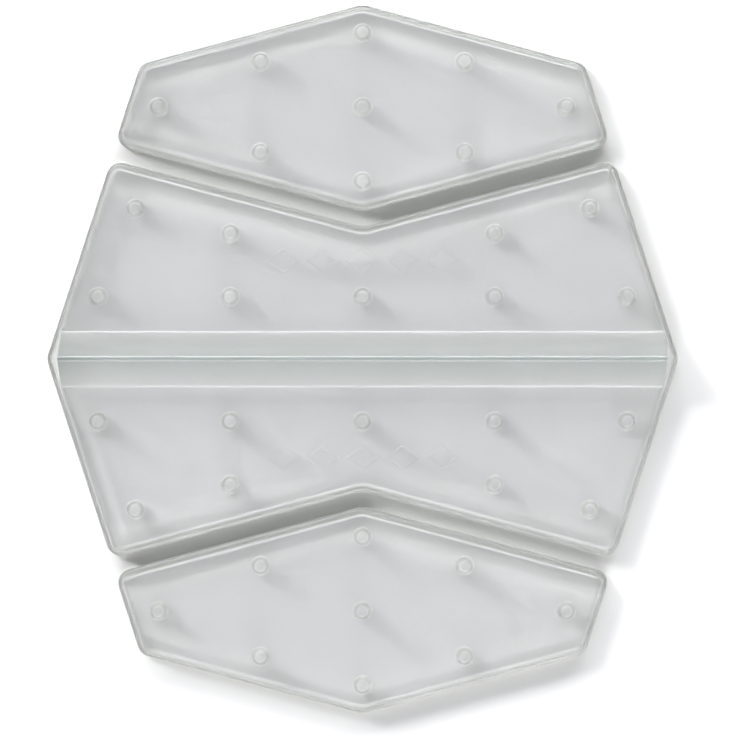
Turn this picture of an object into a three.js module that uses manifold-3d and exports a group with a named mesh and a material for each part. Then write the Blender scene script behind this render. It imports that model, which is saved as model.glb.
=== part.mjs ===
// A clear stomp pad for a snowboard: a wide center section with a heel ridge, and a wing section
// above and below it. Each section is a moulded pad, the adhesive sheet under it, and the liner
// that covers the adhesive until the section is stuck down.
//
// Millimeters, +Z up. X runs along the ridge and Y across it. The origin is under the middle of
// the center section, on the surface that the liners lie on.

import * as THREE from "three";
import { mergeVertices } from "three/addons/utils/BufferGeometryUtils.js";
import Module from "manifold-3d";

const wasm = await Module();
wasm.setup();

// Plan: where the sharp corners would be, before they are rounded.
const centerHalfWidth = 67.2; // from the middle to the point at each end of the ridge
const centerCornerY = 42.4; // from the ridge to the four corners
const wingHalfWidth = 52.8; // from the middle to the wing's wide corners
const wingDepth = 44; // along Y, from the wing's inner point to its outer point
const sectionGap = 3.3; // along Y, between the center section and a wing
const sideLean = THREE.MathUtils.degToRad(18); // of every end edge, from Y
const chevronSlope = THREE.MathUtils.degToRad(15); // of every chevron edge, from X

// Radii of the rounded corners.
const endRadius = 3.5;
const centerCornerRadius = 3;
const notchRadius = 6;
const wideCornerRadius = 3;
const narrowCornerRadius = 2.8;
const wingPointRadius = 5;
const tightestRadius = 0.3; // where an inset has used a corner's radius up
const cornerSteps = 4;

// Layers, from the surface up.
const linerThickness = 0.25;
const adhesiveThickness = 0.5;
const bodyThickness = 3.5;

// Edge of the moulding: a thin lip, a drafted wall and a rounded top edge.
const lipWidth = 0.9;
const lipThickness = 0.7;
const lipRound = 0.2;
const wallDraft = THREE.MathUtils.degToRad(16);
const topEdgeRadius = 0.9;
const topEdgeSteps = 3;

// Ridge across the center section.
const ridgeHalfWidth = 5.9;
const ridgeHeight = 4.5;
const crestRadius = 0.9;
const ridgeFootRadius = 1;
const ridgeArcSteps = 3;

// Grip studs: domed pips on a flared foot.
const studHeight = 2.6;
const studRadius = 1.5;
const studFootRadius = 2.2;
const studSides = 12;
const studDomeSteps = 3;

// Stud layout. The center's studs stand at (x, y) and its mirror images about the ridge and the
// middle; a wing's are counted from the middle of its depth.
const studPitch = 28;
const studInnerRowY = 13.2;
const studOuterRowY = 26.6;
const cornerStud = { x: 48.1, y: 31.9 };
const wingEndStudX = 43.2;
const wingPointStudY = 15.7;
const wingDiagonalStud = { x: 21.6, y: 9.6 };

// Raised line relief beside the ridge: a row of diamond outlines.
const reliefRowY = 20.9;
const reliefDiamonds = 5;
const reliefPitch = 8.4;
const reliefDiamond = { halfWidth: 3.6, halfHeight: 2.6 };
const reliefLine = 0.55;
const reliefHeight = 0.25;

// How far a raised feature runs down into the body that it is joined to.
const sinkDepth = 0.3;

const padBottomZ = linerThickness + adhesiveThickness;
const padTopZ = padBottomZ + bodyThickness;

// Outlines ---------------------------------------------------------------------------------------

// The corners of both outlines, going round to the left, each with the radius that rounds it.
function centerCorners() {
  const cornerX = centerHalfWidth - centerCornerY * Math.tan(sideLean);
  const notchY = centerCornerY - cornerX * Math.tan(chevronSlope);
  const upperHalf = [
    { x: centerHalfWidth, y: 0, radius: endRadius },
    { x: cornerX, y: centerCornerY, radius: centerCornerRadius },
    { x: 0, y: notchY, radius: notchRadius },
    { x: -cornerX, y: centerCornerY, radius: centerCornerRadius },
  ];
  const lowerHalf = upperHalf.map(({ x, y, radius }) => ({ x: -x, y: -y, radius }));
  return [...upperHalf, ...lowerHalf];
}

function wingCorners() {
  const slope = Math.tan(chevronSlope);
  const lean = Math.tan(sideLean);
  const notchY = centerCorners()[2].y;
  const innerY = notchY + sectionGap;
  const wideY = innerY + wingHalfWidth * slope;
  const outerY = innerY + wingDepth;
  const sideHeight = (outerY - wingHalfWidth * slope - wideY) / (1 - lean * slope);
  const narrowX = wingHalfWidth - sideHeight * lean;
  const narrowY = wideY + sideHeight;
  return [
    { x: 0, y: innerY, radius: wingPointRadius },
    { x: wingHalfWidth, y: wideY, radius: wideCornerRadius },
    { x: narrowX, y: narrowY, radius: narrowCornerRadius },
    { x: 0, y: outerY, radius: wingPointRadius },
    { x: -narrowX, y: narrowY, radius: narrowCornerRadius },
    { x: -wingHalfWidth, y: wideY, radius: wideCornerRadius },
  ];
}

// The outline moved inwards by inset, with every corner an arc of the same number of steps, so
// that outlines at different insets match point for point.
function roundedOutline(corners, inset) {
  return corners.flatMap((corner, i) => {
    const sharp = new THREE.Vector2(corner.x, corner.y);
    const before = corners.at(i - 1);
    const after = corners[(i + 1) % corners.length];
    const arriving = sharp.clone().sub(before).normalize();
    const leaving = new THREE.Vector2(after.x, after.y).sub(sharp).normalize();
    const turn = Math.atan2(arriving.cross(leaving), arriving.dot(leaving));
    const halfTurnCosine = Math.cos(turn / 2);
    const sum = arriving.clone().add(leaving);
    const inwards = new THREE.Vector2(-sum.y, sum.x).normalize();
    const tip = sharp.clone().addScaledVector(inwards, inset / halfTurnCosine);
    const outwardBend = turn > 0;
    const radius = outwardBend ? Math.max(corner.radius - inset, tightestRadius) : corner.radius + inset;
    const toCenter = (outwardBend ? radius : -radius) / halfTurnCosine;
    const arcCenter = tip.clone().addScaledVector(inwards, toCenter);
    const start = tip.clone().addScaledVector(arriving, -radius * Math.tan(Math.abs(turn) / 2));
    return Array.from({ length: cornerSteps + 1 }, (_, step) =>
      start.clone().rotateAround(arcCenter, (turn * step) / cornerSteps),
    );
  });
}

// Solids -----------------------------------------------------------------------------------------

// A closed geometry through a stack of matching outlines, each { outline, z }.
function loft(levels) {
  const count = levels[0].outline.length;
  const positions = levels.flatMap(({ outline, z }) => outline.flatMap((point) => [point.x, point.y, z]));
  const index = [];
  for (let level = 0; level + 1 < levels.length; level += 1) {
    for (let i = 0; i < count; i += 1) {
      const here = level * count + i;
      const next = level * count + ((i + 1) % count);
      index.push(here, next, next + count);
      index.push(here, next + count, here + count);
    }
  }
  for (const [a, b, c] of THREE.ShapeUtils.triangulateShape(levels[0].outline, [])) {
    index.push(a, c, b);
  }
  const top = (levels.length - 1) * count;
  for (const [a, b, c] of THREE.ShapeUtils.triangulateShape(levels.at(-1).outline, [])) {
    index.push(top + a, top + b, top + c);
  }
  const geometry = new THREE.BufferGeometry();
  geometry.setAttribute("position", new THREE.Float32BufferAttribute(positions, 3));
  geometry.setIndex(index);
  return geometry;
}

// A flat sheet of the outline, from one height to another.
function sheet(corners, bottomZ, topZ) {
  const outline = roundedOutline(corners, 0);
  return loft([
    { outline, z: bottomZ },
    { outline, z: topZ },
  ]);
}

function toSolid(geometry) {
  const bare = geometry.clone();
  bare.deleteAttribute("normal");
  bare.deleteAttribute("uv");
  const merged = mergeVertices(bare);
  const triangles = [];
  for (let i = 0; i < merged.index.count; i += 3) {
    const [a, b, c] = [merged.index.getX(i), merged.index.getX(i + 1), merged.index.getX(i + 2)];
    if (a !== b && b !== c && c !== a) {
      triangles.push(a, b, c);
    }
  }
  const vertProperties = new Float32Array(merged.attributes.position.array);
  const triVerts = new Uint32Array(triangles);
  return new wasm.Manifold(new wasm.Mesh({ numProp: 3, vertProperties, triVerts }));
}

function toGeometry(solid) {
  const mesh = solid.getMesh();
  const geometry = new THREE.BufferGeometry();
  geometry.setAttribute("position", new THREE.Float32BufferAttribute(mesh.vertProperties, 3));
  geometry.setIndex(Array.from(mesh.triVerts));
  return geometry;
}

// How far the drafted wall stands in from the outline at a height above the lip.
function wallInset(z) {
  return lipWidth + (z - padBottomZ - lipThickness) * Math.tan(wallDraft);
}

// The body of a moulding: lip, drafted wall, rounded top edge and flat top.
function bodySolid(corners) {
  const lipTopZ = padBottomZ + lipThickness;
  const arcCenterZ = padTopZ - topEdgeRadius;
  const arcStartZ = arcCenterZ + topEdgeRadius * Math.sin(wallDraft);
  const arcCenterInset = wallInset(arcStartZ) + topEdgeRadius * Math.cos(wallDraft);
  const profile = [
    { inset: 0, z: padBottomZ },
    { inset: 0, z: lipTopZ - lipRound },
    { inset: lipRound, z: lipTopZ },
    { inset: lipWidth, z: lipTopZ },
  ];
  for (let step = 0; step <= topEdgeSteps; step += 1) {
    const angle = wallDraft + ((Math.PI / 2 - wallDraft) * step) / topEdgeSteps;
    const inset = arcCenterInset - topEdgeRadius * Math.cos(angle);
    const z = arcCenterZ + topEdgeRadius * Math.sin(angle);
    profile.push({ inset, z });
  }
  return toSolid(loft(profile.map(({ inset, z }) => ({ outline: roundedOutline(corners, inset), z }))));
}

// One stud at the origin, with its foot on z = 0.
function studGeometry() {
  const neckZ = studHeight - studRadius;
  const flare = studFootRadius - studRadius;
  const profile = [
    new THREE.Vector2(0, -sinkDepth),
    new THREE.Vector2(studFootRadius + sinkDepth, -sinkDepth),
    new THREE.Vector2(studFootRadius - flare * 0.6, flare * 0.5),
    new THREE.Vector2(studRadius, neckZ),
  ];
  for (let step = 1; step <= studDomeSteps; step += 1) {
    const angle = (Math.PI / 2) * (step / studDomeSteps);
    const radius = step < studDomeSteps ? studRadius * Math.cos(angle) : 0;
    profile.push(new THREE.Vector2(radius, neckZ + studRadius * Math.sin(angle)));
  }
  return new THREE.LatheGeometry(profile, studSides).rotateX(Math.PI / 2);
}

function studSolids(places) {
  return places.map(([x, y]) => toSolid(studGeometry().translate(x, y, padTopZ)));
}

// The ridge's section across Y, with an arc on the crest and one at each foot.
function ridgeShape() {
  const flankSlope = ridgeFlankSlope();
  const footY = ridgeHalfWidth + ridgeFootRadius * Math.tan(flankSlope / 2);
  const half = [];
  for (let step = 0; step <= ridgeArcSteps; step += 1) {
    const angle = (flankSlope * step) / ridgeArcSteps;
    const y = footY - ridgeFootRadius * Math.sin(angle);
    half.push(new THREE.Vector2(y, ridgeFootRadius * (1 - Math.cos(angle))));
  }
  for (let step = 0; step <= ridgeArcSteps; step += 1) {
    const angle = flankSlope * (1 - step / ridgeArcSteps);
    const z = ridgeHeight - crestRadius * (1 - Math.cos(angle));
    half.push(new THREE.Vector2(crestRadius * Math.sin(angle), z));
  }
  const otherHalf = half.slice(0, -1).reverse();
  return new THREE.Shape([
    new THREE.Vector2(footY, -sinkDepth),
    ...half,
    ...otherHalf.map(({ x, y }) => new THREE.Vector2(-x, y)),
    new THREE.Vector2(-footY, -sinkDepth),
  ]);
}

// The flank's angle from flat, such that an arc of the crest's radius ends at the ridge's height.
function ridgeFlankSlope() {
  let slope = Math.atan(ridgeHeight / ridgeHalfWidth);
  for (let round = 0; round < 20; round += 1) {
    const sharpHeight = ridgeHeight + crestRadius * (1 / Math.cos(slope) - 1);
    slope = Math.atan(sharpHeight / ridgeHalfWidth);
  }
  return slope;
}

// The ridge, from end to end of the center section, closed by the drafted wall carried upwards.
function ridgeSolid(corners) {
  const length = 2 * centerHalfWidth;
  const bar = new THREE.ExtrudeGeometry(ridgeShape(), { depth: length, bevelEnabled: false });
  bar.translate(0, 0, -length / 2);
  bar.rotateX(Math.PI / 2).rotateZ(Math.PI / 2);
  bar.translate(0, 0, padTopZ);
  const bottomZ = padBottomZ + lipThickness;
  const topZ = padTopZ + ridgeHeight + 1;
  const reach = loft([
    { outline: roundedOutline(corners, wallInset(bottomZ)), z: bottomZ },
    { outline: roundedOutline(corners, wallInset(topZ)), z: topZ },
  ]);
  return toSolid(bar).intersect(toSolid(reach));
}

// One diamond outline of the relief, as a thin raised line.
function diamondSolid(x, y) {
  const diamond = (halfWidth, halfHeight) => [
    new THREE.Vector2(halfWidth, 0),
    new THREE.Vector2(0, halfHeight),
    new THREE.Vector2(-halfWidth, 0),
    new THREE.Vector2(0, -halfHeight),
  ];
  const { halfWidth, halfHeight } = reliefDiamond;
  const innerScale = 1 - (reliefLine * Math.hypot(halfWidth, halfHeight)) / (halfWidth * halfHeight);
  const shape = new THREE.Shape(diamond(halfWidth, halfHeight));
  shape.holes.push(new THREE.Path(diamond(halfWidth * innerScale, halfHeight * innerScale).reverse()));
  const line = new THREE.ExtrudeGeometry(shape, { depth: sinkDepth + reliefHeight, bevelEnabled: false });
  return toSolid(line.translate(x, y, padTopZ - sinkDepth));
}

function reliefSolids() {
  const middle = (reliefDiamonds - 1) / 2;
  const places = Array.from({ length: reliefDiamonds }, (_, i) => (i - middle) * reliefPitch);
  return [reliefRowY, -reliefRowY].flatMap((y) => places.map((x) => diamondSolid(x, y)));
}

// Stud places ------------------------------------------------------------------------------------

const bothWays = (x, y) => [
  [x, y],
  [-x, -y],
];

const fourWays = (x, y) => [...bothWays(x, y), ...bothWays(-x, y)];

function centerStudPlaces() {
  return [
    ...bothWays(0, studInnerRowY),
    ...fourWays(studPitch, studInnerRowY),
    ...fourWays(2 * studPitch, studInnerRowY),
    ...fourWays(studPitch, studOuterRowY),
    ...fourWays(cornerStud.x, cornerStud.y),
  ];
}

function wingStudPlaces(middleY) {
  const places = [
    [0, 0],
    ...bothWays(wingEndStudX, 0),
    ...bothWays(0, wingPointStudY),
    ...fourWays(wingDiagonalStud.x, wingDiagonalStud.y),
  ];
  return places.map(([x, y]) => [x, y + middleY]);
}

// Sections ---------------------------------------------------------------------------------------

const padMaterial = new THREE.MeshStandardMaterial({
  color: 0xc8cac8,
  roughness: 0.12,
  metalness: 0,
  transparent: true,
  opacity: 0.5,
});
const adhesiveMaterial = new THREE.MeshStandardMaterial({ color: 0xd2d4ba, roughness: 0.4, metalness: 0 });
const linerMaterial = new THREE.MeshStandardMaterial({ color: 0xe9e9e6, roughness: 0.6, metalness: 0 });

function namedMesh(name, geometry, material) {
  const mesh = new THREE.Mesh(geometry, material.clone());
  mesh.name = name;
  return mesh;
}

function section(name, corners, features) {
  const pad = features.reduce((solid, feature) => solid.add(feature), bodySolid(corners));
  const group = new THREE.Group();
  group.name = name;
  group.add(
    namedMesh(`${name}_liner`, sheet(corners, 0, linerThickness), linerMaterial),
    namedMesh(`${name}_adhesive`, sheet(corners, linerThickness, padBottomZ), adhesiveMaterial),
    namedMesh(`${name}_pad`, toGeometry(pad), padMaterial),
  );
  return group;
}

function centerSection() {
  const corners = centerCorners();
  const features = [ridgeSolid(corners), ...studSolids(centerStudPlaces()), ...reliefSolids()];
  return section("center", corners, features);
}

function wingSection(name) {
  const corners = wingCorners();
  const middleY = (corners[0].y + corners[3].y) / 2;
  return section(name, corners, studSolids(wingStudPlaces(middleY)));
}

const upperWing = wingSection("upper_wing");
const lowerWing = wingSection("lower_wing");
lowerWing.rotation.z = Math.PI;

const group = new THREE.Group();
group.name = "stomp_pad";
group.add(centerSection(), upperWing, lowerWing);

export default group;
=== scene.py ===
"""Clear stomp pad for a snowboard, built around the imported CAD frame.

Three sections lie side by side: a center section with a heel ridge, and a wing above and below
it. Each is a clear moulded pad with round grip studs, on an adhesive sheet, on a release liner.
Every size is in meters.
"""

import math

import bmesh
import bpy
from bpy.props import FloatProperty, FloatVectorProperty, IntProperty, PointerProperty
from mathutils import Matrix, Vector


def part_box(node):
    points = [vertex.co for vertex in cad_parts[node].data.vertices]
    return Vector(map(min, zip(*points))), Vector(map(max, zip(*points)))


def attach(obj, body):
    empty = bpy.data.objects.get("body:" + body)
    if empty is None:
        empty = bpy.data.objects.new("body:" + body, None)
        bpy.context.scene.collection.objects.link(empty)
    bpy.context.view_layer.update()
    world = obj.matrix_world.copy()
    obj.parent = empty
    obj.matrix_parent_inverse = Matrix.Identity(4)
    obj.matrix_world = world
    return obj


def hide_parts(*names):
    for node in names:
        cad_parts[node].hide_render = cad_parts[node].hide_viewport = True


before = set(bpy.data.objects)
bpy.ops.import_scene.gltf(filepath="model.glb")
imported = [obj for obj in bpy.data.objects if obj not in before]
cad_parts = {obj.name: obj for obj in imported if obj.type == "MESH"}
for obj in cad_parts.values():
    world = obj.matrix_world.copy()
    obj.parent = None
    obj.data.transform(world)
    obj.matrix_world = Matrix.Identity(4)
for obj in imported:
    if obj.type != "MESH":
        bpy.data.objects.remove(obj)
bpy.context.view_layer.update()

bl_info = {
    "name": "Stomp Pad",
    "version": (1, 0, 0),
    "blender": (4, 5, 0),
    "location": "View3D > Sidebar > Stomp Pad",
    "description": "Builds a clear three-section stomp pad around its CAD frame",
    "category": "Object",
}

SECTIONS = {
    "center": {"section": "center_section", "backing": "center_backing"},
    "upper_wing": {"section": "upper_wing_section", "backing": "upper_wing_backing"},
    "lower_wing": {"section": "lower_wing_section", "backing": "lower_wing_backing"},
}
UP = Vector((0, 0, 1))
# Name, power in watts, width, height, azimuth and elevation in degrees, distance, and whether it
# throws sharp caustics.
LAMPS = (
    ("key", 46.0, 0.65, 0.65, 142, 27, 2.4, True),
    ("top", 64.0, 3.0, 0.7, 93, 27, 2.4, False),
    ("front", 5.5, 0.9, 0.5, 275, 33, 0.9, False),
)


# Settings ------------------------------------------------------------------------------------


def length(name, description, default):
    return FloatProperty(
        name=name, description=description, default=default, unit="LENGTH", precision=5
    )


def angle(name, description, degrees):
    return FloatProperty(
        name=name, description=description, default=math.radians(degrees), subtype="ANGLE"
    )


def color(name, description, default):
    return FloatVectorProperty(
        name=name, description=description, default=default, size=3, subtype="COLOR", min=0, max=1
    )


def share(name, description, default):
    return FloatProperty(
        name=name, description=description, default=default, min=0, max=1, subtype="FACTOR"
    )


def number(name, description, default):
    return FloatProperty(name=name, description=description, default=default, precision=4)


class StompPadPlan(bpy.types.PropertyGroup):
    """The outlines, seen from above, and the layout of the studs."""

    center_half_width: length("Center half width", "Middle to the point at each end", 0.0672)
    center_corner_y: length("Center corner", "Ridge to each of the four corners", 0.0424)
    wing_half_width: length("Wing half width", "Middle to the wing's wide corners", 0.0528)
    wing_depth: length("Wing depth", "Inner point to outer point of a wing", 0.044)
    section_gap: length("Gap", "Clear gap between the center and a wing, across the ridge", 0.0033)
    side_lean: angle("Side lean", "Lean of the end edges", 18)
    chevron_slope: angle("Chevron slope", "Slope of the chevron edges", 15)
    end_radius: length("End radius", "Rounding of the center's end points", 0.0035)
    corner_radius: length("Corner radius", "Rounding of the center's four corners", 0.003)
    notch_radius: length("Notch radius", "Rounding of the center's two notches", 0.006)
    wide_radius: length("Wide corner radius", "Rounding of a wing's wide corners", 0.003)
    narrow_radius: length("Narrow corner radius", "Rounding of a wing's narrow corners", 0.0028)
    point_radius: length("Wing point radius", "Rounding of a wing's two points", 0.005)
    stud_pitch: length("Stud pitch", "Distance between the center's columns of studs", 0.028)
    stud_inner_row: length("Inner row", "Ridge to the inner rows of studs", 0.0132)
    stud_outer_row: length("Outer row", "Ridge to the outer rows of studs", 0.0266)
    corner_stud_x: length("Corner stud X", "Middle to the corner studs, along the ridge", 0.0481)
    corner_stud_y: length("Corner stud Y", "Ridge to the corner studs", 0.0319)
    wing_end_stud: length("Wing end stud", "Middle of a wing to its end studs", 0.0432)
    wing_point_stud: length("Wing point stud", "Middle of a wing to its point studs", 0.0157)
    wing_diagonal_x: length("Diagonal X", "Middle of a wing to its other studs, along X", 0.0216)
    wing_diagonal_y: length("Diagonal Y", "Middle of a wing to its other studs, along Y", 0.0096)


class StompPadMoulding(bpy.types.PropertyGroup):
    """The section through a pad's edge, its ridge, its studs and its line relief."""

    lip_width: length("Lip width", "Width of the thin lip round the pad", 0.0005)
    lip_thickness: length("Lip thickness", "Thickness of the lip", 0.0007)
    lip_round: length("Lip rounding", "Rounding of the lip's edge", 0.0002)
    wall_draft: angle("Draft", "Lean of the walls", 16)
    wall_foot_radius: length("Wall foot", "Fillet between the lip and the wall", 0.0003)
    top_edge_radius: length("Top edge", "Rounding of the top edge", 0.0013)
    ridge_half_width: length("Ridge half width", "Middle of the ridge to its foot", 0.0059)
    crest_radius: length("Crest radius", "Rounding of the ridge's crest", 0.0009)
    ridge_foot_radius: length("Ridge foot", "Fillet at the ridge's feet", 0.001)
    stud_height: length("Stud height", "Height of a stud above the pad", 0.0026)
    stud_foot_radius: length("Stud foot", "Radius of a stud at its foot", 0.0022)
    stud_foot_round: length("Stud fillet", "Fillet at a stud's foot", 0.0004)
    stud_lean: angle("Stud lean", "Lean of a stud's flank", 16)
    stud_crown_radius: length("Stud crown", "Rounding of the rim of a stud's flat crown", 0.0006)
    relief_row: length("Relief row", "Ridge to the middle of each relief row", 0.0209)
    relief_pitch: length("Relief pitch", "Distance between the relief's diamonds", 0.0084)
    relief_half_width: length("Diamond half width", "Middle of a diamond to its side", 0.0036)
    relief_half_height: length("Diamond half height", "Middle of a diamond to its top", 0.0026)
    relief_line: length("Relief line", "Width of the relief's raised line", 0.00045)
    relief_height: length("Relief height", "Height of the relief's raised line", 0.00015)
    relief_round: length("Relief rounding", "Rounding of the raised line's rims", 0.00011)
    relief_diamonds: IntProperty(
        name="Diamonds", description="Diamonds in a relief row", default=5, min=1
    )


class StompPadFinish(bpy.types.PropertyGroup):
    """Colors and surfaces of the three layers."""

    pad_color: color("Pad", "Tint of the clear moulding", (0.985, 0.987, 0.985))
    pad_edge_color: color("Pad edge", "Tint of the moulding's walls", (0.62, 0.66, 0.56))
    pad_thick_color: color("Pad ridge", "Tint where the moulding is thickest", (0.57, 0.64, 0.63))
    pad_clearness: share("Clearness", "Share of the light that passes without haze", 0.95)
    pad_roughness: share("Pad roughness", "Least roughness inside the gloss", 0.28)
    pad_coat_roughness: share("Gloss", "Roughness of the gloss", 0.12)
    pad_swell: length("Swell", "Depth of the slow swell of the surface", 0.00006)
    pad_grain: length("Grain", "Depth of the fine grain of the surface", 0.000003)
    adhesive_color: color("Adhesive", "Adhesive sheet over its liner", (0.95, 0.945, 0.96))
    adhesive_cloud_color: color("Adhesive clouds", "Its cloudier patches", (0.89, 0.9, 0.9))
    adhesive_edge_color: color("Adhesive edge", "Cut edge of the sheet", (0.66, 0.68, 0.5))
    liner_color: color("Liner", "Release liner", (0.83, 0.83, 0.81))
    liner_fiber_color: color("Liner fiber", "Darkest fiber of the liner", (0.76, 0.76, 0.73))


class StompPadStage(bpy.types.PropertyGroup):
    """The floor, the light and the camera."""

    floor_color: color("Floor", "Pale floor", (0.93, 0.93, 0.935))
    floor_size: length("Floor size", "Side of the square floor", 6.0)
    sky_color: color("Sky", "Color of the light from all round", (0.95, 0.962, 1.0))
    horizon: number("Horizon", "Strength of the light from the horizon", 0.15)
    zenith: number("Zenith", "Strength of the light from overhead", 0.2)
    camera_lens: FloatProperty(name="Lens", description="Focal length", default=200, unit="CAMERA")
    view_width: length("View width", "Width of the floor that the camera sees", 0.1597)
    view_x: length("View X", "Middle of the view, along the ridge", 0.00266)
    view_y: length("View Y", "Middle of the view, across the ridge", -0.0034)


# Outlines ------------------------------------------------------------------------------------


def center_corners(plan):
    """The center's sharp corners, going round to the left, each with its rounding."""
    corner_x = plan.center_half_width - plan.center_corner_y * math.tan(plan.side_lean)
    notch_y = plan.center_corner_y - corner_x * math.tan(plan.chevron_slope)
    upper_half = [
        (plan.center_half_width, 0, plan.end_radius),
        (corner_x, plan.center_corner_y, plan.corner_radius),
        (0, notch_y, plan.notch_radius),
        (-corner_x, plan.center_corner_y, plan.corner_radius),
    ]
    return upper_half + [(-x, -y, radius) for x, y, radius in upper_half]


def wing_corners(plan):
    """The upper wing's sharp corners, going round to the left, each with its rounding."""
    slope, lean = math.tan(plan.chevron_slope), math.tan(plan.side_lean)
    inner_y = center_corners(plan)[2][1] + plan.section_gap
    outer_y = inner_y + plan.wing_depth
    wide_y = inner_y + plan.wing_half_width * slope
    side_height = (outer_y - plan.wing_half_width * slope - wide_y) / (1 - lean * slope)
    narrow_x = plan.wing_half_width - side_height * lean
    return [
        (0, inner_y, plan.point_radius),
        (plan.wing_half_width, wide_y, plan.wide_radius),
        (narrow_x, wide_y + side_height, plan.narrow_radius),
        (0, outer_y, plan.point_radius),
        (-narrow_x, wide_y + side_height, plan.narrow_radius),
        (-plan.wing_half_width, wide_y, plan.wide_radius),
    ]


def section_corners(plan, section):
    """The corners of any section. The lower wing is the upper one turned half round."""
    if section == "center":
        return center_corners(plan)
    corners = wing_corners(plan)
    if section == "lower_wing":
        return [(-x, -y, radius) for x, y, radius in corners]
    return corners


def mirrored(x, y):
    """A stud's place and its mirror images about both axes, each once."""
    return sorted({(x, y), (-x, y), (x, -y), (-x, -y)})


def stud_places(plan, section):
    """The middles of a section's studs."""
    if section == "center":
        quarter = [
            (0.0, plan.stud_inner_row),
            (plan.stud_pitch, plan.stud_inner_row),
            (2 * plan.stud_pitch, plan.stud_inner_row),
            (plan.stud_pitch, plan.stud_outer_row),
            (plan.corner_stud_x, plan.corner_stud_y),
        ]
        return [place for x, y in quarter for place in mirrored(x, y)]
    corners = section_corners(plan, section)
    middle_y = (corners[0][1] + corners[3][1]) / 2
    quarter = [
        (0.0, 0.0),
        (plan.wing_end_stud, 0.0),
        (0.0, plan.wing_point_stud),
        (plan.wing_diagonal_x, plan.wing_diagonal_y),
    ]
    return [(px, py + middle_y) for x, y in quarter for px, py in mirrored(x, y)]


# Meshes --------------------------------------------------------------------------------------


def is_upright(edge):
    """Whether an edge of an upright slab joins its bottom to its top."""
    return abs(edge.verts[0].co.z - edge.verts[1].co.z) > 1e-5


def unique(elements):
    """Mesh elements, each once, in the order in which they first come."""
    return list(dict.fromkeys(elements))


def extrude(bm, faces, shift):
    """Extrudes faces by shift. Returns the moved faces."""
    grown = bmesh.ops.extrude_face_region(bm, geom=faces)["geom"]
    verts = [g for g in grown if isinstance(g, bmesh.types.BMVert)]
    bmesh.ops.translate(bm, verts=verts, vec=shift)
    return [g for g in grown if isinstance(g, bmesh.types.BMFace)]


def slab(bm, corners, bottom, top, corner_steps):
    """A flat slab of the outline with its corners rounded. Returns its top face."""
    outline = [bm.verts.new((x, y, bottom)) for x, y, _ in corners]
    extrude(bm, [bm.faces.new(outline)], UP * (top - bottom))
    bmesh.ops.recalc_face_normals(bm, faces=bm.faces[:])
    for x, y, radius in corners:
        place = Vector((x, y))
        upright = next(
            e for e in bm.edges if is_upright(e) and (e.verts[0].co.xy - place).length < 1e-6
        )
        turn = upright.calc_face_angle()
        bmesh.ops.bevel(
            bm,
            geom=[upright],
            offset=radius * math.tan(turn / 2),
            offset_type="OFFSET",
            segments=corner_steps,
            profile=0.5,
            affect="EDGES",
            material=-1,
        )
    bm.normal_update()
    return max(bm.faces, key=lambda face: face.normal.z * len(face.verts))


def arc_steps(radius, start, end, count):
    """Steps (inwards, up) along an arc that leans from start to end, angles from upright."""
    steps = []
    for i in range(count):
        a = start + (end - start) * i / count
        b = start + (end - start) * (i + 1) / count
        inwards = radius * abs(math.cos(a) - math.cos(b))
        up = radius * abs(math.sin(b) - math.sin(a))
        steps.append((inwards, up))
    return steps


def body_mesh(bm, plan, moulding, section, bottom, top):
    """The body of a pad: lip, fillet, drafted wall, rounded top edge and flat top."""
    upright, flat = 0.0, math.pi / 2
    lip_side = moulding.lip_thickness - moulding.lip_round
    face = slab(bm, section_corners(plan, section), bottom, bottom + lip_side, corner_steps=10)
    draft = moulding.wall_draft
    lip_arc = arc_steps(moulding.lip_round, upright, flat, 4)
    foot_arc = arc_steps(moulding.wall_foot_radius, flat, draft, 4)
    top_arc = arc_steps(moulding.top_edge_radius, draft, flat, 8)
    foot_start = moulding.lip_width - moulding.wall_foot_radius * math.tan((flat - draft) / 2)
    lip_top = foot_start - moulding.lip_round
    risen = sum(up for _, up in lip_arc + foot_arc + top_arc)
    wall_up = top - bottom - lip_side - risen
    wall = (wall_up * math.tan(draft), wall_up)
    steps = lip_arc + [(lip_top, 0)] + foot_arc + [wall] + top_arc
    for inwards, up in steps:
        bmesh.ops.inset_region(
            bm, faces=[face], thickness=inwards, depth=up, use_boundary=True, use_even_offset=True
        )


def stud_profile(moulding, root, sunk):
    """Half a stud's section, from its axis under the surface to its crown, as (radius, up)."""
    lean, flat = moulding.stud_lean, math.pi / 2
    profile = [(0, -root), (moulding.stud_foot_radius, -root)]
    for i in range(5):
        a = (flat - lean) * i / 4
        radius = moulding.stud_foot_radius - moulding.stud_foot_round * math.sin(a)
        profile.append((radius, moulding.stud_foot_round * (1 - math.cos(a)) - sunk))
    radius, up = profile[-1]
    crown_center = moulding.stud_height - moulding.stud_crown_radius
    crown_start = crown_center + moulding.stud_crown_radius * math.sin(lean)
    shoulder = radius - (crown_start - up) * math.tan(lean)
    crown_axis = shoulder - moulding.stud_crown_radius * math.cos(lean)
    for i in range(11):
        a = lean + (flat - lean) * i / 10
        radius = crown_axis + moulding.stud_crown_radius * math.cos(a)
        profile.append((radius, crown_center + moulding.stud_crown_radius * math.sin(a)))
    return profile + [(0, moulding.stud_height)]


def add_stud(bm, moulding, x, y, z):
    """One stud, spun from its profile. Its foot is a hair below z, and its root further down."""
    profile = stud_profile(moulding, root=0.0003, sunk=2e-6)
    verts = [bm.verts.new((x + radius, y, z + up)) for radius, up in profile]
    edges = [bm.edges.new(pair) for pair in zip(verts, verts[1:])]
    bmesh.ops.spin(
        bm,
        geom=verts + edges,
        cent=(x, y, z),
        axis=UP,
        angle=2 * math.pi,
        steps=40,
        use_merge=True,
        use_duplicate=False,
    )


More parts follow.
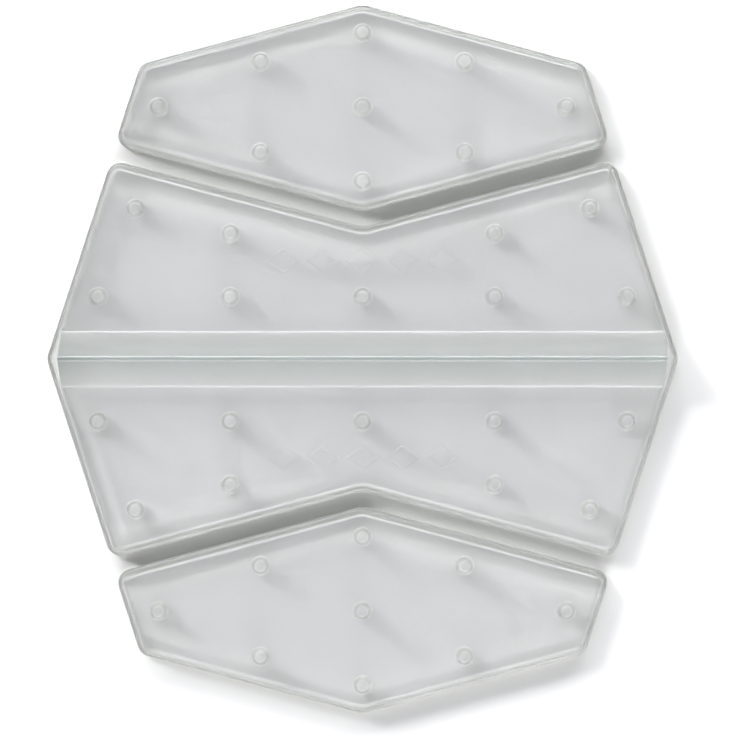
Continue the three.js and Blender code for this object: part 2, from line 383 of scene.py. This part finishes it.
def ridge_bar(bm, moulding, half_length, z, height):
    """The ridge's section, filleted at crest and feet, as a bar along X.

    Its flanks' slope is found by steps: the rounding takes the crest down to its height.
    """
    slope = math.atan(height / moulding.ridge_half_width)
    for _ in range(20):
        sharp = height + moulding.crest_radius * (1 / math.cos(slope) - 1)
        slope = math.atan(sharp / moulding.ridge_half_width)
    sunk, root = 2e-6, 0.0003
    fillet, crest = moulding.ridge_foot_radius, moulding.crest_radius
    foot = moulding.ridge_half_width + fillet * math.tan(slope / 2)
    half = [(foot, -root)]
    for i in range(7):
        a = slope * i / 6
        half.append((foot - fillet * math.sin(a), fillet * (1 - math.cos(a)) - sunk))
    for i in range(7):
        a = slope * (1 - i / 6)
        half.append((crest * math.sin(a), height - crest * (1 - math.cos(a))))
    outline = half + [(-y, up) for y, up in reversed(half[:-1])]
    face = bm.faces.new([bm.verts.new((-half_length, y, z + up)) for y, up in outline])
    extrude(bm, [face], (2 * half_length, 0, 0))


def cut_ridge_ends(bm, plan, moulding, bottom):
    """Cuts the bar's ends by the drafted wall planes, two of which meet at each end point."""
    lean = plan.side_lean
    lip_z = bottom + moulding.lip_thickness
    inside = 0.00006  # keeps the cut faces off the wall's own faces
    for x_sign in (1, -1):
        for y_sign in (1, -1):
            across = Vector((x_sign * math.cos(lean), y_sign * math.sin(lean), 0))
            normal = across * math.cos(moulding.wall_draft) + UP * math.sin(moulding.wall_draft)
            end = Vector((x_sign * plan.center_half_width, 0, lip_z))
            point = end - across * (moulding.lip_width + inside)
            bmesh.ops.bisect_plane(
                bm,
                geom=bm.verts[:] + bm.edges[:] + bm.faces[:],
                plane_co=point,
                plane_no=normal,
                clear_outer=True,
            )
            rim = [e for e in bm.edges if e.is_boundary]
            bmesh.ops.edgeloop_fill(bm, edges=rim)


def add_diamond(bm, moulding, x, y, z):
    """One raised diamond outline of the relief, with its rims rounded."""
    root = 0.0003
    half_size = (moulding.relief_half_width, moulding.relief_half_height, 1)
    ring = bmesh.ops.create_circle(bm, cap_ends=True, segments=4, radius=1.0)["verts"]
    bmesh.ops.scale(bm, verts=ring, vec=half_size)
    bmesh.ops.translate(bm, verts=ring, vec=(x, y, z - root))
    middle = ring[0].link_faces[0]
    bmesh.ops.inset_region(
        bm,
        faces=[middle],
        thickness=moulding.relief_line,
        use_boundary=True,
        use_even_offset=True,
    )
    band = unique(face for vert in ring for face in vert.link_faces)
    bmesh.ops.delete(bm, geom=[middle], context="FACES_ONLY")
    tops = extrude(bm, band, UP * (root + moulding.relief_height))
    rims = unique(e for f in tops for e in f.edges if any(o not in tops for o in e.link_faces))
    bmesh.ops.bevel(
        bm,
        geom=rims,
        offset=moulding.relief_round,
        offset_type="OFFSET",
        segments=3,
        profile=0.5,
        affect="EDGES",
        material=-1,
    )


def to_object(bm, name):
    """A finished mesh as an object at the origin."""
    mesh = bpy.data.meshes.new(name)
    bm.to_mesh(mesh)
    bm.free()
    piece = bpy.data.objects.new(name, mesh)
    bpy.context.scene.collection.objects.link(piece)
    return piece


def add_features(bm, plan, moulding, section, top):
    """The studs of a section, and the center's two rows of relief."""
    for x, y in stud_places(plan, section):
        add_stud(bm, moulding, x, y, top)
    if section == "center":
        middle = (moulding.relief_diamonds - 1) / 2
        for y in (moulding.relief_row, -moulding.relief_row):
            for i in range(moulding.relief_diamonds):
                add_diamond(bm, moulding, (i - middle) * moulding.relief_pitch, y, top)


def joined(body, addition):
    """Joins addition to body by a boolean union, applied, and removes it."""
    union = body.modifiers.new("Union", "BOOLEAN")
    union.operation = "UNION"
    union.solver = "EXACT"
    union.object = addition
    evaluated = body.evaluated_get(bpy.context.evaluated_depsgraph_get())
    mesh = bpy.data.meshes.new_from_object(evaluated)
    body.modifiers.clear()
    old = body.data
    body.data = mesh
    mesh.name = old.name + "_joined"
    bpy.data.meshes.remove(old)
    bpy.data.objects.remove(addition)


def shade_moulding(piece):
    """Smooth shading that keeps the flats flat and the sharp edges sharp."""
    sharp_from, flat_weight = math.radians(40), 70
    mesh = piece.data
    mesh.shade_smooth()
    mesh.set_sharp_from_angle(angle=sharp_from)
    weighted = piece.modifiers.new("Flat faces", "WEIGHTED_NORMAL")
    weighted.mode = "FACE_AREA_WITH_ANGLE"
    weighted.weight = flat_weight
    weighted.keep_sharp = True


def pad_heights(moulding):
    """The height of the pads' flat tops, and of the ridge above them, in the CAD frame."""
    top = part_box("upper_wing_pad")[1].z - moulding.stud_height
    return top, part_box("center_pad")[1].z - top


def pad_piece(plan, moulding, section):
    """One clear pad on its CAD body's heights."""
    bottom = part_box(f"{section}_pad")[0].z
    top, ridge_height = pad_heights(moulding)
    bm = bmesh.new()
    body_mesh(bm, plan, moulding, section, bottom, top)
    body = to_object(bm, f"{section}_clear_pad")
    extra = bmesh.new()
    add_features(extra, plan, moulding, section, top)
    bmesh.ops.remove_doubles(extra, verts=extra.verts[:], dist=1e-7)
    bmesh.ops.recalc_face_normals(extra, faces=extra.faces[:])
    features = to_object(extra, f"{section}_features")
    if section == "center":
        bar = bmesh.new()
        ridge_bar(bar, moulding, plan.center_half_width + 0.001, top, ridge_height)
        cut_ridge_ends(bar, plan, moulding, bottom)
        bmesh.ops.recalc_face_normals(bar, faces=bar.faces[:])
        joined(body, to_object(bar, "center_ridge"))
    joined(body, features)
    shade_moulding(body)
    return body


def sheet_piece(plan, section, layer, bottom, top):
    """A flat sheet of a section's outline."""
    bm = bmesh.new()
    slab(bm, section_corners(plan, section), bottom, top, corner_steps=10)
    return to_object(bm, f"{section}_{layer}_sheet")


# Materials -----------------------------------------------------------------------------------


class Value:
    """A number or color socket. Arithmetic on it adds Math nodes to its tree."""

    def __init__(self, tree, socket):
        self.tree = tree
        self.socket = socket

    def math(self, operation, *operands):
        node = self.tree.nodes.new("ShaderNodeMath")
        node.operation = operation
        for slot, operand in zip(node.inputs, operands):
            connect(self.tree, slot, operand)
        return Value(self.tree, node.outputs[0])

    def __add__(self, other):
        return self.math("ADD", self, other)

    __radd__ = __add__

    def __sub__(self, other):
        return self.math("SUBTRACT", self, other)

    def __rsub__(self, other):
        return self.math("SUBTRACT", other, self)

    def __mul__(self, other):
        return self.math("MULTIPLY", self, other)

    __rmul__ = __mul__

    def __truediv__(self, other):
        return self.math("DIVIDE", self, other)

    def __lt__(self, other):
        return self.math("LESS_THAN", self, other)

    def __abs__(self):
        return self.math("ABSOLUTE", self)

    def at_least(self, low):
        return self.math("MAXIMUM", self, low)


def connect(tree, socket, value):
    """Links a wrapped socket to socket, or sets it to a plain number, color or vector."""
    if isinstance(value, Value):
        tree.links.new(value.socket, socket)
    elif socket.type == "RGBA" and len(value) == 3:
        socket.default_value = (*value, 1)
    else:
        socket.default_value = value


class Finish:
    """A node material being written."""

    def __init__(self, name):
        self.material = bpy.data.materials.new(name)
        self.material.use_nodes = True
        self.tree = self.material.node_tree
        self.tree.nodes.clear()

    def node(self, kind, settings=None, inputs=None, output=0):
        """Any node: its settings are set first, then its inputs by name or number."""
        node = self.tree.nodes.new(kind)
        for key, value in (settings or {}).items():
            setattr(node, key, value)
        for key, value in (inputs or {}).items():
            connect(self.tree, node.inputs[key], value)
        return None if output is None else Value(self.tree, node.outputs[output])

    def place(self):
        """The point on the piece, in meters, which moves with it."""
        return self.node("ShaderNodeTexCoord", output="Object")

    def part_of(self, vector, axis):
        """One coordinate of a vector."""
        return self.node("ShaderNodeSeparateXYZ", None, {"Vector": vector}, axis)

    def steepness(self):
        """0 where the surface is level, and 1 where it is upright."""
        return 1 - abs(self.part_of(self.node("ShaderNodeNewGeometry", output="Normal"), "Z"))

    def noise(self, place, size, detail=2.0, roughness=0.5):
        """Noise from 0 to 1 whose features are about size across, in meters."""
        inputs = {"Vector": place, "Scale": 1 / size, "Detail": detail, "Roughness": roughness}
        return self.node("ShaderNodeTexNoise", {"noise_dimensions": "3D"}, inputs)

    def mix(self, amount, first, second):
        """A color between first and second. Sockets 6 and 7 take the colors, and 2 gives one."""
        inputs = {"Factor": amount, 6: first, 7: second}
        return self.node("ShaderNodeMix", {"data_type": "RGBA"}, inputs, output=2)

    def bump(self, height, distance, normal=None):
        """A normal from height, which 1 lifts by distance, on top of another normal."""
        inputs = {"Height": height, "Distance": distance}
        if normal is not None:
            inputs["Normal"] = normal
        return self.node("ShaderNodeBump", None, inputs)

    def finish(self, inputs):
        """The material, with one Principled surface of these inputs."""
        surface = self.node("ShaderNodeBsdfPrincipled", None, inputs)
        self.node("ShaderNodeOutputMaterial", None, {"Surface": surface}, output=None)
        return self.material


def clear_pad_material(finish, moulding):
    """Clear glossy polyurethane with a faint swell, tinted where it is thick and at its walls."""
    top, ridge_height = pad_heights(moulding)
    swell_size, grain_size, patch_size = 0.009, 0.0007, 0.004
    foot_margin = 0.0016
    stud_tint = 0.4
    made = Finish("clear_polyurethane")
    place = made.place()
    normal = made.bump(made.noise(place, swell_size, detail=1.0), finish.pad_swell)
    normal = made.bump(made.noise(place, grain_size), finish.pad_grain, normal)
    in_ridge = abs(made.part_of(place, "Y")) < moulding.ridge_half_width + foot_margin
    above = ((made.part_of(place, "Z") - top) / ridge_height).at_least(0)
    thickness = above * (stud_tint + (1 - stud_tint) * in_ridge)
    body = made.mix(thickness, finish.pad_color, finish.pad_thick_color)
    return made.finish(
        {
            "Base Color": made.mix(made.steepness(), body, finish.pad_edge_color),
            "Roughness": finish.pad_roughness + 0.04 * made.noise(place, patch_size),
            "IOR": 1.5,
            "Transmission Weight": finish.pad_clearness,
            "Coat Weight": 1.0,
            "Coat Roughness": finish.pad_coat_roughness,
            "Normal": normal,
        }
    )


def adhesive_material(finish):
    """Translucent adhesive sheet: cloudy over its liner, yellow-green at its cut edge."""
    cloud_size, clear_below, contrast = 0.007, 0.35, 3.0
    ripple = 0.00001
    made = Finish("adhesive_sheet")
    clouds = made.noise(made.place(), cloud_size, detail=4.0, roughness=0.6)
    cloudiness = (clouds - clear_below) * contrast
    face = made.mix(cloudiness, finish.adhesive_color, finish.adhesive_cloud_color)
    return made.finish(
        {
            "Base Color": made.mix(made.steepness(), face, finish.adhesive_edge_color),
            "Roughness": 0.45 + 0.1 * clouds,
            "Normal": made.bump(clouds, ripple),
        }
    )


def liner_material(finish):
    """Siliconed release paper: white, satin, with a faint fiber."""
    fiber_size, fiber_height = 0.0006, 0.00001
    made = Finish("release_paper")
    fiber = made.noise(made.place(), fiber_size, detail=4.0)
    return made.finish(
        {
            "Base Color": made.mix(fiber * 0.3, finish.liner_color, finish.liner_fiber_color),
            "Roughness": 0.35 + 0.2 * fiber,
            "Normal": made.bump(fiber, fiber_height),
        }
    )


def floor_material(stage):
    """Plain pale floor."""
    grain_size = 0.002
    made = Finish("pale_floor")
    grain = made.noise(made.place(), grain_size)
    return made.finish(
        {
            "Base Color": stage.floor_color,
            "Roughness": 0.85 + 0.1 * grain,
            "Specular IOR Level": 0.2,
        }
    )


def tent_world(stage):
    """Faint light from all round, a little stronger near the horizon, as in a light tent."""
    world = bpy.data.worlds.new("tent")
    world.use_nodes = True
    tree = world.node_tree
    direction = tree.nodes.new("ShaderNodeTexCoord").outputs["Generated"]
    split = tree.nodes.new("ShaderNodeSeparateXYZ")
    tree.links.new(direction, split.inputs["Vector"])
    height = Value(tree, split.outputs["Z"])
    lowness = 1 - height.at_least(0)
    sky = tree.nodes["Background"]
    connect(tree, sky.inputs["Color"], stage.sky_color)
    connect(tree, sky.inputs["Strength"], stage.horizon * lowness * lowness + stage.zenith)
    return world


# Stage ---------------------------------------------------------------------------------------


def lay_floor(stage):
    """A square floor at the height that the liners lie on."""
    bm = bmesh.new()
    bmesh.ops.create_grid(bm, x_segments=1, y_segments=1, size=stage.floor_size / 2)
    floor = to_object(bm, "floor")
    floor.data.materials.append(floor_material(stage))


def hang_lamp(name, power, width, height, azimuth, elevation, distance, caustics):
    """A rectangular lamp that faces the middle of the floor, out of the camera's sight.

    One with sharp caustics is hidden from glossy rays too, so its glare on the flat tops is less.
    """
    lamp = bpy.data.lights.new(name, "AREA")
    lamp.energy = power
    lamp.shape = "RECTANGLE"
    lamp.size = width
    lamp.size_y = height
    lamp.cycles.is_caustics_light = caustics
    around, up = math.radians(azimuth), math.radians(elevation)
    reach = math.cos(up)
    towards = Vector((math.cos(around) * reach, math.sin(around) * reach, math.sin(up)))
    holder = bpy.data.objects.new(name, lamp)
    holder.location = towards * distance
    holder.rotation_euler = towards.to_track_quat("Z", "Y").to_euler()
    holder.visible_camera = False
    holder.visible_glossy = not caustics
    bpy.context.scene.collection.objects.link(holder)


def overhead_camera(stage):
    """A camera that looks straight down from where its lens sees the view's width of floor."""
    data = bpy.data.cameras.new("camera")
    data.lens = stage.camera_lens
    data.clip_start = 0.01
    data.clip_end = 20
    camera = bpy.data.objects.new("camera", data)
    distance = stage.view_width * data.lens / data.sensor_width
    camera.location = (stage.view_x, stage.view_y, distance)
    bpy.context.scene.collection.objects.link(camera)
    return camera


# Operators -----------------------------------------------------------------------------------


class STOMPPAD_OT_pads(bpy.types.Operator):
    """Build the three clear moulded pads"""

    bl_idname = "stomp_pad.pads"
    bl_label = "Clear Pads"

    def execute(self, context):
        scene = context.scene
        material = clear_pad_material(scene.stomp_pad_finish, scene.stomp_pad_moulding)
        for section, bodies in SECTIONS.items():
            piece = pad_piece(scene.stomp_pad_plan, scene.stomp_pad_moulding, section)
            piece.data.materials.clear()
            piece.data.materials.append(material)
            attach(piece, bodies["section"])
            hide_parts(f"{section}_pad")
            piece.cycles.is_caustics_caster = True
        return {"FINISHED"}


class STOMPPAD_OT_adhesives(bpy.types.Operator):
    """Build the three adhesive sheets"""

    bl_idname = "stomp_pad.adhesives"
    bl_label = "Adhesive Sheets"

    def execute(self, context):
        scene = context.scene
        material = adhesive_material(scene.stomp_pad_finish)
        bedding = 0.00003
        for section, bodies in SECTIONS.items():
            low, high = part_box(f"{section}_adhesive")
            piece = sheet_piece(scene.stomp_pad_plan, section, "adhesive", low.z, high.z + bedding)
            piece.data.materials.append(material)
            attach(piece, bodies["section"])
            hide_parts(f"{section}_adhesive")
            piece.cycles.is_caustics_receiver = True
        return {"FINISHED"}


class STOMPPAD_OT_liners(bpy.types.Operator):
    """Build the three release liners"""

    bl_idname = "stomp_pad.liners"
    bl_label = "Release Liners"

    def execute(self, context):
        scene = context.scene
        material = liner_material(scene.stomp_pad_finish)
        for section, bodies in SECTIONS.items():
            low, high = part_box(f"{section}_liner")
            piece = sheet_piece(scene.stomp_pad_plan, section, "liner", low.z, high.z)
            piece.data.materials.append(material)
            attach(piece, bodies["backing"])
            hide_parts(f"{section}_liner")
        return {"FINISHED"}


class STOMPPAD_OT_stage(bpy.types.Operator):
    """Lay the floor and set the light and the camera"""

    bl_idname = "stomp_pad.stage"
    bl_label = "Stage"

    def execute(self, context):
        scene = context.scene
        stage = scene.stomp_pad_stage
        lay_floor(stage)
        scene.world = tent_world(stage)
        for lamp in LAMPS:
            hang_lamp(*lamp)
        scene.camera = overhead_camera(stage)
        scene.view_settings.view_transform = "Standard"
        return {"FINISHED"}


class STOMPPAD_PT_panel(bpy.types.Panel):
    """Steps that build the stomp pad"""

    bl_label = "Stomp Pad"
    bl_space_type = "VIEW_3D"
    bl_region_type = "UI"
    bl_category = "Stomp Pad"

    def draw(self, context):
        for step in STEPS:
            self.layout.operator(step.bl_idname)
        for group in SETTINGS:
            box = self.layout.box()
            for name in SETTINGS[group].__annotations__:
                box.prop(getattr(context.scene, group), name)


STEPS = (STOMPPAD_OT_pads, STOMPPAD_OT_adhesives, STOMPPAD_OT_liners, STOMPPAD_OT_stage)
SETTINGS = {
    "stomp_pad_plan": StompPadPlan,
    "stomp_pad_moulding": StompPadMoulding,
    "stomp_pad_finish": StompPadFinish,
    "stomp_pad_stage": StompPadStage,
}
CLASSES = (*SETTINGS.values(), *STEPS, STOMPPAD_PT_panel)


def register():
    for cls in CLASSES:
        bpy.utils.register_class(cls)
    for name, group in SETTINGS.items():
        setattr(bpy.types.Scene, name, PointerProperty(type=group))


def unregister():
    for name in SETTINGS:
        delattr(bpy.types.Scene, name)
    for cls in reversed(CLASSES):
        bpy.utils.unregister_class(cls)


def main():
    """Builds everything."""
    register()
    bpy.ops.stomp_pad.pads()
    bpy.ops.stomp_pad.adhesives()
    bpy.ops.stomp_pad.liners()
    bpy.ops.stomp_pad.stage()


if __name__ == "__main__":
    main()
